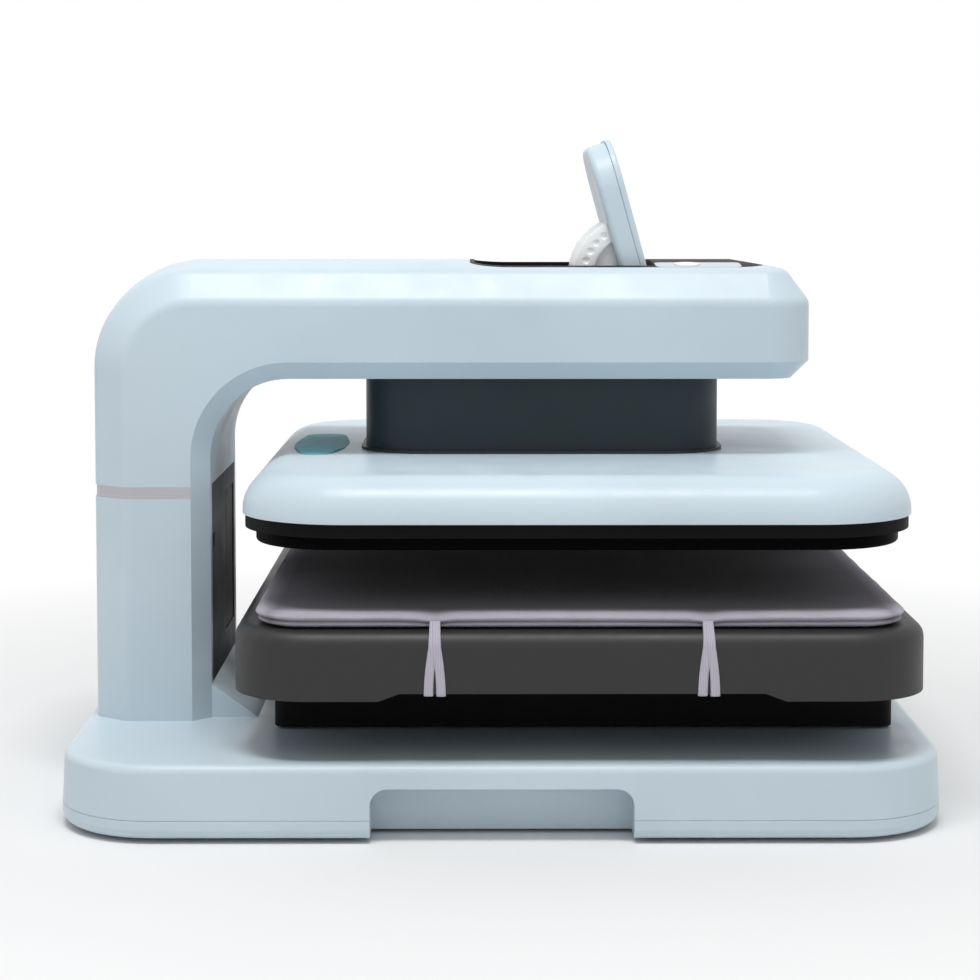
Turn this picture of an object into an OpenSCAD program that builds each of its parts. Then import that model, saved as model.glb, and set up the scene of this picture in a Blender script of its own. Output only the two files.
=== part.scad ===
// Automatic flat heat press on a C-shaped frame, with a pull-out lower tray.
// Millimetres. +X is the open front, +Y the far side, +Z up.
// Origin: centre of the base on the floor, under the rubber feet.

/* [Base] */
// Length of the base along X
base_len = 523; // [500:1:560]
// Depth of the base along Y
base_dep = 400; // [396:1:440]
// Plan radius of the base corners
base_r = 60; // [40:1:70]
// Height of the deck over the underside
deck_z = 43; // [42:0.5:44]
// Height of the parting line between cover and pan
part_z = 11.5; // [9:0.5:14]
// Wall of the base mouldings
base_wall = 3.5; // [3:0.5:4]
// Height of the rubber feet under the pan
foot_h = 2.5; // [1.5:0.5:6]
// Half length of the hand-hold notch
notch_half = 76; // [60:1:84]
// Height of the hand-hold notch
notch_h = 29.5; // [22:0.5:32]
// Depth of the hand-hold notch
notch_d = 25; // [18:1:30]

/* [Column and arm] */
// Depth of the column, and of the arm over its corner axis
arm_v = 62; // [60:0.5:64]
// Set-back of the column from the base's rear end
col_inset = 7.5; // [6:0.5:12]
// Half width of column and arm
arm_hw = 83; // [82:0.5:86]
// Front end of the arm, from the column's corner axis
arm_x1 = 386; // [378:1:398]
// Plan radius of the arm's front corners
arm_r = 28; // [26:1:32]
// Height of the arm's top edge
arm_top = 325; // [324:0.5:328]
// Rise of the arm's crowned top over its edge
crown = 4; // [3:0.5:6]
// Width of the soft chamfer round the outer edge, with its rounded edges
soft = 20.5; // [19:0.5:21.5]
// Radius of the soft chamfer's edges
soft_r = 10; // [8:0.5:12]
// Height of the seam between arm shell and throat cover
seam_z = 267; // [266:0.5:268]
// Size of the throat bevel
bevel = 11; // [10:0.5:12]
// Throat radius at the seam
throat_r = 60; // [58:1:62]
// Height of the trim band's lower edge
band_z = 182; // [176:1:186]
// Height of the trim band
band_h = 7.5; // [6:0.5:9]

/* [Press head] */
// Centre of the head, from the column's corner axis
head_x = 237; // [235:0.5:239]
// Side of the square head cover
head_side = 398; // [392:1:400]
// Plan radius of the head corners
head_r = 64; // [58:1:66]
// Lower edge of the head cover
head_z0 = 182; // [182:0.5:184]
// Top of the head cover
head_z1 = 208; // [208:0.5:209]
// Top edge radius of the head cover
head_f = 24; // [22:0.5:24]
// Overhang of the head cover round the platen
head_lip = 8.5; // [8:0.5:11]
// Lower face of the platen
platen_z0 = 166; // [165:0.5:167]
// Thickness of the platen
platen_t = 12; // [10:0.5:13]
// Depth of the black rim under the cover
rim_h = 8; // [7:0.5:8]

/* [Sleeve] */
// Centre of the sleeve, from the column's corner axis
sleeve_x = 219; // [218:0.5:220]
// Length of the sleeve
sleeve_len = 226; // [222:1:228]
// Depth of the sleeve
sleeve_dep = 120; // [119:0.5:122]
// Plan radius of the sleeve
sleeve_r = 38; // [34:1:40]
// Wall of the sleeve
sleeve_w = 3; // [2:0.5:3]
// Top of the sleeve with the press open
sleeve_z1 = 297; // [294:0.5:297.5]

/* [Tray] */
// Rear end of the tray, from the column's corner axis
tray_x = 35; // [33:0.5:37]
// Length of the tray
tray_len = 406; // [402:1:410]
// Depth of the tray
tray_dep = 396; // [394:1:396]
// Plan radius of the tray corners
tray_r = 45; // [38:1:50]
// Lower edge of the tray's skirt
tray_z0 = 80; // [79:0.5:82]
// Top of the tray
tray_z1 = 120; // [119:0.5:120]
// Side of the square pad, fifteen inches
pad_side = 381; // [376:1:382]
// Thickness of the pad
pad_t = 11; // [10:0.5:11]
// Plan radius of the pad corners
pad_r = 30; // [24:1:36]
// Straps either side of their middle
strap_x = 78.5; // [60:0.5:95]
// Middle of the straps behind the tray's centre
strap_back = 6; // [0:0.5:10]
// Width of one elastic band
strap_w = 5.5; // [4:0.5:7]

/* [Flip-up unit] */
// Place of the hinge, from the column's corner axis
hinge_x = 278; // [277:0.5:279]
// Depth of the hinge under the arm's top edge
hinge_drop = 7; // [7:0.5:7.5]
// Lean toward the column when raised
lean = 15.5; // [10:0.5:18]
// Height of the plate over the hinge
flip_len = 88; // [80:1:90]
// Half width of the plate
flip_hw = 50; // [46:0.5:52]
// Overhang of the plate's front cover at its tip
flip_lip = 1.5; // [0.5:0.5:3]
// Thickness of the plate
flip_t = 17; // [15:0.5:17]
// Radius of the drum behind the plate
drum_r = 39.5; // [36:0.5:42]

/* [Fits] */
// Gap round moving faces
run_gap = 0.8; // [0.5:0.1:1.2]
// Gap round fitted inlays
fit_gap = 0.15; // [0.1:0.05:0.25]
// Radial gap of a shaft in its bore
bore_gap = 0.08; // [0.05:0.01:0.1]

/* [Hidden] */
$fn = 96;
blue = [0.74, 0.82, 0.88];
slate = [0.18, 0.21, 0.23];
black = [0.05, 0.05, 0.06];
steel = [0.68, 0.69, 0.71];
grey = [0.26, 0.25, 0.26];
// Outer corner and throat corner of the C
back_x = arm_v + col_inset - base_len / 2;
back_z = arm_top - arm_v;
col_x = back_x - arm_v;
// Places in front of the column
arm_end = back_x + arm_x1;
head_c = back_x + head_x;
sleeve_c = back_x + sleeve_x;
tray_x0 = back_x + tray_x;
tray_x1 = tray_x0 + tray_len;
tray_m = tray_x0 + tray_len / 2;
hinge_c = back_x + hinge_x;
throat_x = back_x + throat_r;
throat_z = seam_z - throat_r;
under_z = seam_z - bevel;
inner_x = back_x + bevel;
band_top = band_z + band_h;
soft_h = soft_r + 4 * (soft - soft_r) / 3;
flat_hw = arm_hw - soft;
crown_in = 1;
crown_hw = flat_hw - crown_in;
crown_r = (crown_hw * crown_hw + crown * crown) / (2 * crown);
shell_w = 4;
cav_hw = arm_hw - shell_w;
cav_c = 16;
cav_v = arm_v - 6;
// Ramp at the foot of the column, and the liner on its face
ramp_w = 29;
ramp_h = 21;
liner_hy = arm_hw - bevel - 8;
liner_t = 2;
slot_y = 8;
slot_w = 50;
liner_z = deck_z + ramp_h;
slot_z0 = deck_z + 41;
slot_z1 = band_z - 6;
// Steel frame plates
plate_t = 6;
plate_y = 66;
plate_b = deck_z - base_wall;
plate_top = arm_top - 19;
plate_x0 = col_x + 17;
plate_x1 = back_x - 8;
plate_end = arm_end - 44;
// Stiffener under the deck
deck_l = base_len - 53;
deck_w = base_dep - 176;
cross_t = 7;
cross_z = plate_top - cross_t;
// Lift drive
screw_x = sleeve_c - 13;
screw_r = 8;
motor_x = sleeve_c - 72;
rod_x = [sleeve_c - 82, sleeve_c + 85];
rod_y = 38;
rod_r = 6;
rod_top = plate_top - 1;
bush_r = 11;
bush_z = cross_z - 37;
// Head inside
head_w = 3.5;
rim_in = 1.5;
rim_fit = 0.25;
rim_z = head_z0 - rim_h;
platen_side = head_side - 2 * head_lip;
platen_r = head_r - 14;
coil_p = (platen_side - 93) / 6;
coil_l = platen_side - 141;
wool_side = head_side - 58;
wool_t = 9;
platen_z1 = platen_z0 + platen_t;
bracket_t = 6;
ceil_z = head_z1 - head_w;
tube_r = 3.5;
post_x = [sleeve_c - 67, sleeve_c + 103];
post_y = 1.25 * coil_p;
lens_x = sleeve_c - sleeve_len / 2 - 30;
lens_l = 35;
lens_w = 137;
lens_e = 9;
lens_in = 1.6;
lens_h = 2.5;
// Tray inside
tray_w = 5;
tray_c = tray_z1 - 8;
tray_f = 9;
car_x0 = tray_x0 + 18;
car_x1 = tray_x1 - 8;
car_hy = 106;
car_z0 = deck_z + 1.5;
car_w = 4;
rail_x0 = tray_x0 + 29;
rail_len = tray_len - 46;
arch_l = tray_len / 2 - 86;
arch_h = 4.5;
rail_y = 80;
rail_t = 8;
rail_h = 13;
// Flip-up unit and its well
hinge_z = arm_top - hinge_drop;
half_t = flip_t / 2;
flip_r = 30;
flip_f = 4;
flip_seam = 3.5;
finger_gap = 13;
well_rim = 2.5;
well_x0 = hinge_c - flip_len - flip_lip - finger_gap;
well_x1 = hinge_c + 11;
well_hy = flip_hw + 3;
panel_r = 26;
well_r = panel_r - well_rim;
well_z = hinge_z - half_t - 1;
well_w = 1.5;
drum_hy = flip_hw - 5;
pocket_x0 = hinge_c - drum_r - 1.5;
pocket_z = hinge_z - drum_r - 1;
pin_r = 2.5;
// Control panel and its key field
panel_x0 = well_x0 - well_rim;
panel_x1 = arm_end - 22;
panel_hy = 60;
panel_t = 2;
key_x0 = well_x1 + 1;
key_l = 54;
key_y0 = 0.8 - panel_hy;
key_w = 24;
start_r = 8;
// Mains inlet and rocker in the column's back
inlet_y = -24;
rock_x = col_x + 2;
rock_y = 24;
rock_z = deck_z + 30;
rock_tilt = 10;

// Quarter of a disc in the first quadrant
module quarter(r) {
  intersection() {
    circle(r);
    square(2 * r);
  }
}

// Half profile with a rounded top edge, from the corner axis outward
module round_top(r, z0, z1, f) {
  polygon([[0, z0], [r, z0], [r, z1 - f], [r - f, z1 - f], [r - f, z1], [0, z1]]);
  translate([r - f, z1 - f])
    quarter(f);
}

// Solid swept round a rectangular plan with round corners, from a half profile
module plan_sweep(l, w, r, z0, z1) {
  cx = l / 2 - r;
  cy = w / 2 - r;
  translate([-cx, -cy, z0])
    cube([2 * cx, 2 * cy, z1 - z0]);
  for (s = [0, 180])
    rotate([0, 0, s]) {
      translate([cx, cy, 0])
        rotate([90, 0, 0])
          linear_extrude(2 * cy)
            children();
      translate([cx, cy, 0])
        rotate_extrude(angle = 90)
          children();
      rotate([0, 0, 90]) {
        translate([cy, cx, 0])
          rotate([90, 0, 0])
            linear_extrude(2 * cx)
              children();
        translate([cy, cx, 0])
          rotate_extrude(angle = 90)
            children();
      }
    }
}

// Upright block with round plan corners
module plan_block(l, w, r, z0, z1) {
  plan_sweep(l, w, r, z0, z1)
    translate([0, z0])
      square([r, z1 - z0]);
}

// Tongue along X with two round front corners, from a half profile
module tongue(x0, x1, hw, r, z0, z1) {
  translate([x0, -(hw - r), z0])
    cube([x1 - r - x0, 2 * (hw - r), z1 - z0]);
  translate([x1 - r, hw - r, 0])
    rotate([90, 0, 0])
      linear_extrude(2 * (hw - r))
        children();
  for (m = [0, 1])
    mirror([0, m, 0]) {
      translate([x0, hw - r, 0])
        rotate([90, 0, 90])
          linear_extrude(x1 - r - x0)
            children();
      translate([x1 - r, hw - r, 0])
        rotate_extrude(angle = 90)
          children();
    }
}

// Sector of a disc between two directions, in the first quadrant
module sector(r, a, b) {
  intersection() {
    circle(r);
    polygon([[0, 0], 2 * r * a, 2 * r * b]);
  }
}

// Half section from x = 0 to u, z0 to v, its outer edge a flat slope between two rounded edges
module soft_profile(u, v, z0) {
  r = soft_r;
  n = [0.8, 0.6];
  low = [u - r, v - soft_h];
  high = [u - soft, v - r];
  polygon([[0, z0], [u, z0], [u, low[1]], low, low + r * n, high + r * n, high, [high[0], v], [0, v]]);
  translate(low)
    sector(r, [1, 0], n);
  translate(high)
    sector(r, n, [0, 1]);
}

// Rise of the crown over its chord, chord on the x axis
module crown_cap() {
  intersection() {
    translate([0, crown - crown_r])
      circle(crown_r, $fn = 256);
    translate([-arm_hw, 0])
      square([2 * arm_hw, 2 * crown]);
  }
}

// Outer half of the C section: width on x, distance from the corner axis on y
module c_section(cut = 0) {
  for (m = [0, 1])
    mirror([m, 0])
      soft_profile(arm_hw - cut, arm_v - cut, 0);
  if (cut == 0)
    translate([0, arm_v])
      crown_cap();
}

// Hollow of the C section
module c_hollow() {
  polygon([[-cav_hw, 0], [cav_hw, 0], [cav_hw, cav_v - cav_c], [cav_hw - cav_c, cav_v],
    [cav_c - cav_hw, cav_v], [-cav_hw, cav_v - cav_c]]);
}

// A section standing on the column, open side toward the throat
module on_column(z0, z1) {
  translate([back_x, 0, z0])
    linear_extrude(z1 - z0)
      rotate(90)
        children();
}

// A section turned a quarter round the back corner
module round_back() {
  translate([back_x, 0, back_z])
    rotate([90, 0, 0])
      rotate([0, 0, 90])
        rotate_extrude(angle = 90)
          rotate(-90)
            children();
}

// A ring profile turned a quarter round the throat
module round_throat() {
  translate([throat_x, 0, throat_z])
    rotate([90, 0, 0])
      rotate([0, 0, 90])
        rotate_extrude(angle = 90)
          children();
}

// Upright prism along Y from an outline in X and Z
module side_prism(y0, y1) {
  translate([0, y1, 0])
    rotate([90, 0, 0])
      linear_extrude(y1 - y0)
        children();
}

// Crowned top of the arm, falling away at the front
module crown_top(z) {
  intersection() {
    translate([back_x, 0, arm_top + z])
      rotate([90, 0, 90])
        linear_extrude(arm_end - soft - back_x)
          crown_cap();
    side_prism(-arm_hw, arm_hw)
      polygon([[back_x - 1, arm_top - 1 + z], [arm_end - soft, arm_top - 1 + z],
        [arm_end - soft, arm_top + z], [arm_end - soft - 29, arm_top + crown + 1 + z],
        [back_x - 1, arm_top + crown + 1 + z]]);
    tongue(back_x - 1, arm_end - soft - crown_in / 2, flat_hw - crown_in / 2, arm_r - soft - crown_in / 2,
      arm_top - 1 + z, arm_top + 9 + z)
      translate([0, arm_top - 1 + z])
        square([arm_r - soft - crown_in / 2, 10]);
  }
}

// Everything under the panel's own underside, for cutting the panel to the crown
module under_panel(z) {
  translate([panel_x0 - 20, -flat_hw, arm_top - 15 + z])
    cube([arm_end - soft - panel_x0 + 20, 2 * flat_hw, 15]);
  crown_top(z);
}

// Plan of the control panel
module panel_plan(g, z0, z1) {
  translate([(panel_x0 + panel_x1) / 2, 0, 0])
    plan_block(panel_x1 - panel_x0 + 2 * g, 2 * panel_hy + 2 * g, panel_r, z0, z1);
}

// Opening of the well through panel and shell
module well_hole(g, z0, z1) {
  mirror([1, 0, 0])
    tongue(-well_x1 - g, g - well_x0, well_hy + g, well_r + g, z0, z1)
      translate([0, z0])
        square([well_r + g, z1 - z0]);
}

// Outline of the hand-hold, in X and Z
module notch_outline(g) {
  r = 10;
  w = notch_half + g;
  h = notch_h + g;
  polygon([[-w, -1], [w, -1], [w, h - r], [w - r, h - r], [w - r, h], [r - w, h], [r - w, h - r],
    [-w, h - r]]);
  translate([w - r, h - r])
    quarter(r);
  translate([r - w, h - r])
    mirror([1, 0])
      quarter(r);
}

module base_cover() {
  hx = base_dep / 2;
  color(blue)
    difference() {
      union() {
        difference() {
          plan_sweep(base_len, base_dep, base_r, part_z, deck_z) {
            union() {
              polygon([[0, part_z], [base_r, part_z], [base_r - 1.2, deck_z - 5],
                [base_r - 6.2, deck_z - 5], [base_r - 6.2, deck_z], [0, deck_z]]);
              translate([base_r - 6.2, deck_z - 5])
                quarter(5);
            }
          }
          plan_block(base_len - 2 * base_wall, base_dep - 2 * base_wall, base_r - base_wall,
            part_z - 1, deck_z - base_wall);
        }
        for (m = [0, 1])
          mirror([0, m, 0])
            translate([-notch_half - 3, -hx + 6, 0]) {
              cube([2 * notch_half + 6, notch_d - 3, notch_h + 3]);
              translate([0, -4, part_z])
                cube([2 * notch_half + 6, 5, notch_h + 3 - part_z]);
            }
        for (p = screw_places())
          translate([p[0], p[1], 3])
            cylinder(h = deck_z - base_wall - 2, r = 5);
      }
      for (m = [0, 1])
        mirror([0, m, 0])
          side_prism(-hx - 1, notch_d - hx)
            notch_outline(0);
      for (p = screw_places())
        translate([p[0], p[1], 2])
          cylinder(h = 14, r = 1.5 + bore_gap);
      for (y = [-1, 1])
        translate([plate_x0 - fit_gap, y * (plate_y + plate_t / 2) - plate_t / 2 - fit_gap, deck_z - 10])
          cube([plate_x1 - plate_x0 + 2 * fit_gap, plate_t + 2 * fit_gap, 12]);
    }
}

function screw_places() = [for (sx = [-1, 1], sy = [-1, 1], k = [0, 1])
  [sx * (k == 0 ? base_len / 2 - 38 : 112), sy * (k == 0 ? base_dep / 2 - 42 : base_dep / 2 - 14)]];

module base_pan() {
  hx = base_dep / 2;
  color(blue)
    difference() {
      plan_sweep(base_len, base_dep, base_r, 0, part_z) {
        union() {
          polygon([[0, 0], [base_r - 6, 0], [base_r - 6, 6], [base_r, 6], [base_r, part_z - 0.7],
            [base_r - 0.7, part_z], [0, part_z]]);
          translate([base_r - 6, 6])
            mirror([0, 1])
              quarter(6);
        }
      }
      plan_block(base_len - 2 * base_wall, base_dep - 2 * base_wall, base_r - base_wall, 3, part_z + 1);
      for (m = [0, 1])
        mirror([0, m, 0]) {
          translate([-notch_half, -hx - 1, -1])
            cube([2 * notch_half, 8, part_z + 2]);
          translate([-notch_half - 3 - fit_gap, -hx + 6, -1])
            cube([2 * notch_half + 6 + 2 * fit_gap, notch_d - 3 + fit_gap, part_z + 2]);
        }
      for (p = screw_places())
        translate([p[0], p[1], -1]) {
          cylinder(h = 6, r = 1.5 + fit_gap);
          cylinder(h = 2.6, r = 3.5 + fit_gap);
        }
    }
}

module rubber_feet() {
  color([0.08, 0.08, 0.08])
    for (sx = [-1, 1], sy = [-1, 1])
      translate([sx * (base_len / 2 - 70), sy * (base_dep / 2 - 60), -foot_h])
        cylinder(h = foot_h, r1 = 13, r2 = 14);
}

module pan_screws() {
  color(steel)
    for (p = screw_places())
      translate([p[0], p[1], 0]) {
        difference() {
          translate([0, 0, 0.1])
            cylinder(h = 1.5, r = 3.5);
          cylinder(h = 0.9, r = 1.5, $fn = 6);
        }
        translate([0, 0, 1.6])
          cylinder(h = 11, r = 1.5);
      }
}

module base_plate() {
  color(steel)
    difference() {
      translate([col_x + 8, -deck_w / 2, plate_b - 3])
        cube([deck_l, deck_w, 3]);
      for (i = [0:2])
        translate([col_x + 74 + i * (deck_l - 100) / 2, 0, plate_b - 4])
          cylinder(h = 5, r = 22);
    }
}

// Flat seat and hole for a snap-in fitting in the column's back
module back_port(y, w, h) {
  translate([col_x - 8, y - w / 2, rock_z - h / 2])
    cube([8, w, h]);
  translate([col_x - 8, y - w / 2 + 4, rock_z - h / 2 + 3])
    cube([14, w - 8, h - 6]);
}

// Flange and body of such a fitting
module back_fitting(y, w, h, d) {
  translate([col_x - 4, y - w / 2 + fit_gap, rock_z - h / 2 + fit_gap])
    cube([4, w - 2 * fit_gap, h - 2 * fit_gap]);
  translate([col_x, y - w / 2 + 4 + fit_gap, rock_z - h / 2 + 3 + fit_gap])
    cube([d, w - 8 - 2 * fit_gap, h - 6 - 2 * fit_gap]);
}

module column_shell() {
  color(blue)
    difference() {
      on_column(deck_z, band_z)
        c_section();
      on_column(deck_z - 1, band_z + 1)
        c_hollow();
      back_port(inlet_y, 32, 26);
      back_port(rock_y, 26, 26);
    }
}

module trim_band() {
  color([0.66, 0.63, 0.63])
    difference() {
      on_column(band_z, band_top)
        c_section(0.6);
      on_column(band_z - 1, band_top + 1)
        c_hollow();
    }
}

module arm_shell() {
  color(blue)
    difference() {
      union() {
        tongue(back_x, arm_end, arm_hw, arm_r, seam_z, arm_top)
          soft_profile(arm_r, arm_top, seam_z);
        crown_top(0);
        round_back()
          c_section();
        on_column(band_top, back_z)
          c_section();
        round_throat()
          translate([throat_r, -arm_hw])
            square([35, 2 * arm_hw]);
      }
      tongue(back_x, arm_end - shell_w, cav_hw, arm_r - shell_w, seam_z - 1, back_z + cav_v)
        polygon([[0, seam_z - 1], [arm_r - shell_w, seam_z - 1],
          [arm_r - shell_w, back_z + cav_v - cav_c], [arm_r - shell_w - cav_c, back_z + cav_v],
          [0, back_z + cav_v]]);
      round_back()
        c_hollow();
      on_column(band_top - 1, back_z)
        c_hollow();
      round_throat()
        translate([throat_r - 1, -cav_hw])
          square([35, 2 * cav_hw]);
      difference() {
        panel_plan(fit_gap, arm_top - 8, arm_top + 9);
        under_panel(-panel_t);
      }
      well_hole(well_w + fit_gap, arm_top - 12, arm_top + 9);
    }
}

module throat_cover() {
  t = 3.5;
  color(blue)
    difference() {
      union() {
        tongue(throat_x, arm_end, arm_hw, arm_r, under_z, seam_z)
          polygon([[0, under_z], [arm_r - bevel, under_z], [arm_r, seam_z], [0, seam_z]]);
        round_throat()
          polygon([[throat_r - bevel, bevel - arm_hw], [throat_r, -arm_hw], [throat_r, arm_hw],
            [throat_r - bevel, arm_hw - bevel]]);
        translate([0, 0, band_top])
          linear_extrude(throat_z - band_top)
            bevel_strip(0);
      }
      tongue(throat_x, arm_end - 7, arm_hw - 7, arm_r - 7, under_z + t, seam_z + 1)
        polygon([[0, under_z + t], [arm_r - 16, under_z + t], [arm_r - 8, seam_z + 1], [0, seam_z + 1]]);
      round_throat()
        polygon([[throat_r - bevel + t, 17 - arm_hw], [throat_r + 1, 8 - arm_hw],
          [throat_r + 1, arm_hw - 8], [throat_r - bevel + t, arm_hw - 17]]);
      translate([0, 0, band_top + t])
        linear_extrude(throat_z - band_top - t)
          polygon([[inner_x - t, 17 - arm_hw], [back_x - 1, 8 - arm_hw], [back_x - 1, arm_hw - 8],
            [inner_x - t, arm_hw - 17]]);
      translate([sleeve_c, 0, 0])
        plan_block(sleeve_len + 2 * run_gap, sleeve_dep + 2 * run_gap, sleeve_r + run_gap,
          under_z - 1, seam_z + 1);
    }
}

// Plan of the strip that closes the throat side of the column
module bevel_strip(g) {
  polygon([[inner_x - g, bevel - arm_hw + g], [inner_x - g, arm_hw - bevel - g], [back_x, arm_hw - g],
    [back_x, g - arm_hw]]);
}

module column_cover() {
  color(blue)
    difference() {
      union() {
        translate([0, 0, deck_z])
          linear_extrude(band_top - deck_z)
            bevel_strip(0);
        side_prism(bevel - arm_hw, arm_hw - bevel)
          polygon([[inner_x, deck_z], [inner_x + ramp_w, deck_z], [inner_x, deck_z + ramp_h]]);
      }
      translate([inner_x - liner_t, -liner_hy - fit_gap, liner_z])
        cube([liner_t + 1, 2 * liner_hy + 2 * fit_gap, band_top]);
    }
}

// Dark liner in the column's face, with a slot for the insert and a small latch pocket
module throat_liner() {
  color(grey)
    difference() {
      translate([inner_x - liner_t, -liner_hy, liner_z + fit_gap])
        cube([liner_t, 2 * liner_hy, band_top - liner_z - 2 * fit_gap]);
      translate([inner_x - 1.2, slot_y, slot_z0])
        cube([3, slot_w, slot_z1 - slot_z0]);
      translate([inner_x - 1, 3 - liner_hy, band_z - 34])
        cube([3, 10, 9.5]);
    }
}

module liner_insert() {
  color(black)
    translate([inner_x - 1.2, slot_y + fit_gap, slot_z0 + fit_gap])
      cube([0.6, slot_w - 2 * fit_gap, slot_z1 - slot_z0 - 2 * fit_gap]);
}

module control_panel() {
  color(black)
    difference() {
      intersection() {
        panel_plan(0, arm_top - 7, arm_top + 8);
        under_panel(0);
      }
      under_panel(-panel_t + 0.02);
      well_hole(0, arm_top - 12, arm_top + 9);
      key_plan(fit_gap, arm_top - 3, arm_top + 9, 0.8);
    }
}

// The key field near the panel's edge, cut to a depth under the crown
module key_plan(g, z0, z1, d) {
  difference() {
    translate([key_x0 + key_l / 2, key_y0 + key_w / 2, 0])
      plan_block(key_l + 2 * g, key_w + 2 * g, 5, z0, z1);
    under_panel(-d);
  }
}

module start_plan(g) {
  translate([key_x0 + 20, key_y0 + 11.5, arm_top - 4])
    cylinder(h = 14, r = start_r + g);
}

module key_strip() {
  color([0.75, 0.77, 0.79])
    difference() {
      intersection() {
        key_plan(0, arm_top - 3, arm_top + 8, 0.8);
        under_panel(0);
      }
      start_plan(fit_gap);
    }
}

module start_key() {
  color([0.95, 0.95, 0.95])
    intersection() {
      key_plan(-1, arm_top - 3, arm_top + 8, 0.8);
      start_plan(0);
      under_panel(0.7);
    }
}

module panel_well() {
  color(black)
    difference() {
      intersection() {
        union() {
          well_hole(well_w, well_z - well_w, arm_top + 4);
          translate([pocket_x0 - well_w, -drum_hy - 1.5 - well_w, pocket_z - well_w])
            cube([well_x1 - pocket_x0 + 2 * well_w, 2 * drum_hy + 3 + 2 * well_w, well_z - pocket_z]);
        }
        union() {
          translate([well_x0 - 20, -arm_hw, pocket_z - 20])
            cube([well_x1 - well_x0 + 40, 2 * arm_hw, arm_top - 14 - panel_t - pocket_z + 20]);
          under_panel(-panel_t - 0.02);
        }
      }
      well_hole(0, well_z, arm_top + 9);
      translate([pocket_x0, -drum_hy - 1.5, pocket_z])
        cube([well_x1 - pocket_x0, 2 * drum_hy + 3, 60]);
      at_hinge()
        cylinder(h = 200, r = pin_r + bore_gap, center = true);
    }
}

// Local frame of the hinge: axis along Y
module at_hinge() {
  translate([hinge_c, 0, hinge_z])
    rotate([90, 0, 0])
      children();
}

// Local frame of the raised plate: length on X, width on Y, front face up
module on_flip() {
  translate([hinge_c, 0, hinge_z])
    rotate([0, -90 - lean, 0])
      rotate([180, 0, 0])
        children();
}

module hinge_pin() {
  color(steel)
    at_hinge()
      cylinder(h = 2 * (well_hy + well_w), r = pin_r, center = true);
}

module flip_shell() {
  color(blue)
    on_flip()
      difference() {
        union() {
          tongue(0, flip_len, flip_hw, flip_r, -half_t, half_t - flip_seam - 0.6) {
            union() {
              polygon([[0, flip_f - half_t], [flip_r, flip_f - half_t], [flip_r, half_t - flip_seam - 0.6],
                [0, half_t - flip_seam - 0.6]]);
              polygon([[0, -half_t], [flip_r - flip_f, -half_t], [flip_r - flip_f, flip_f - half_t],
                [0, flip_f - half_t]]);
              translate([flip_r - flip_f, flip_f - half_t])
                mirror([0, 1])
                  quarter(flip_f);
            }
          }
          tongue(0, flip_len - 0.8, flip_hw - 0.8, flip_r - 0.8, half_t - flip_seam - 0.6, half_t - flip_seam)
            translate([0, half_t - flip_seam - 0.6])
              square([flip_r - 0.8, 0.6]);
          rotate([90, 0, 0])
            cylinder(h = 2 * flip_hw, r = half_t, center = true);
        }
        rotate([90, 0, 0])
          cylinder(h = 3 * flip_hw, r = pin_r + bore_gap, center = true);
        translate([-20, -100, half_t - flip_seam])
          cube([200, 200, 20]);
      }
}

module flip_cover() {
  color(blue)
    on_flip()
      difference() {
        tongue(0, flip_len + flip_lip, flip_hw, flip_r, half_t - flip_seam, half_t) {
          union() {
            polygon([[0, half_t - flip_seam], [flip_r, half_t - flip_seam], [flip_r, half_t - 2],
              [flip_r - 2, half_t - 2], [flip_r - 2, half_t], [0, half_t]]);
            translate([flip_r - 2, half_t - 2])
              quarter(2);
          }
        }
        tongue(14, flip_len - 7, flip_hw - 7, flip_r - 7, half_t - 0.8, half_t + 1)
          translate([0, half_t - 0.8])
            square([flip_r - 7, 1.8]);
      }
}

module flip_drum() {
  color([0.86, 0.88, 0.9])
    difference() {
      at_hinge()
        rotate([0, 0, 90 + lean])
          difference() {
            rotate_extrude(angle = 80)
              polygon([[10, 3 - drum_hy], [drum_r - 12, 3 - drum_hy], [drum_r - 12, -drum_hy],
                [drum_r, -drum_hy], [drum_r, drum_hy], [drum_r - 12, drum_hy],
                [drum_r - 12, drum_hy - 3], [10, drum_hy - 3]]);
            for (i = [2:6])
              for (s = [-1, 1])
                rotate([0, 0, 11 * i])
                  translate([drum_r - 6, 0, s * (drum_hy + 2)])
                    sphere(r = 3.2);
          }
      on_flip()
        translate([-50, -100, -half_t])
          cube([150, 200, 60]);
    }
}

module frame_plate(y0) {
  color(steel)
    side_prism(y0, y0 + plate_t)
      polygon([[plate_x0, plate_b], [plate_x1, plate_b], [plate_x1, plate_top - 31],
        [plate_end, plate_top - 31], [plate_end, plate_top], [plate_x1 - 8, plate_top],
        [plate_x0, plate_top - 38]]);
}

module frame_plate_near() {
  frame_plate(-plate_y - plate_t);
}

module frame_plate_far() {
  frame_plate(plate_y);
}

module frame_spacers() {
  color(steel)
    for (p = [[plate_x0 + 11, deck_z + 57], [plate_x0 + 11, deck_z + 122],
      [plate_x0 + 21, plate_top - 21]])
      translate([p[0], 0, p[1]])
        rotate([90, 0, 0])
          cylinder(h = 2 * plate_y, r = 8, center = true);
}

module lift_plate() {
  color(steel)
    difference() {
      translate([sleeve_c - 103, -plate_y, cross_z])
        cube([112, 2 * plate_y, cross_t]);
      translate([screw_x, 0, cross_z - 1])
        cylinder(h = cross_t + 2, r = screw_r + 1);
      for (s = [-1, 1])
        translate([rod_x[0], s * rod_y, cross_z - 1])
          cylinder(h = cross_t + 2, r = rod_r + 1);
    }
}

module guide_plate() {
  color(steel)
    difference() {
      translate([sleeve_c + 73, -plate_y, cross_z])
        cube([48, 2 * plate_y, cross_t]);
      for (s = [-1, 1])
        translate([rod_x[1], s * rod_y, cross_z - 1])
          cylinder(h = cross_t + 2, r = rod_r + 1);
    }
}

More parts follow.
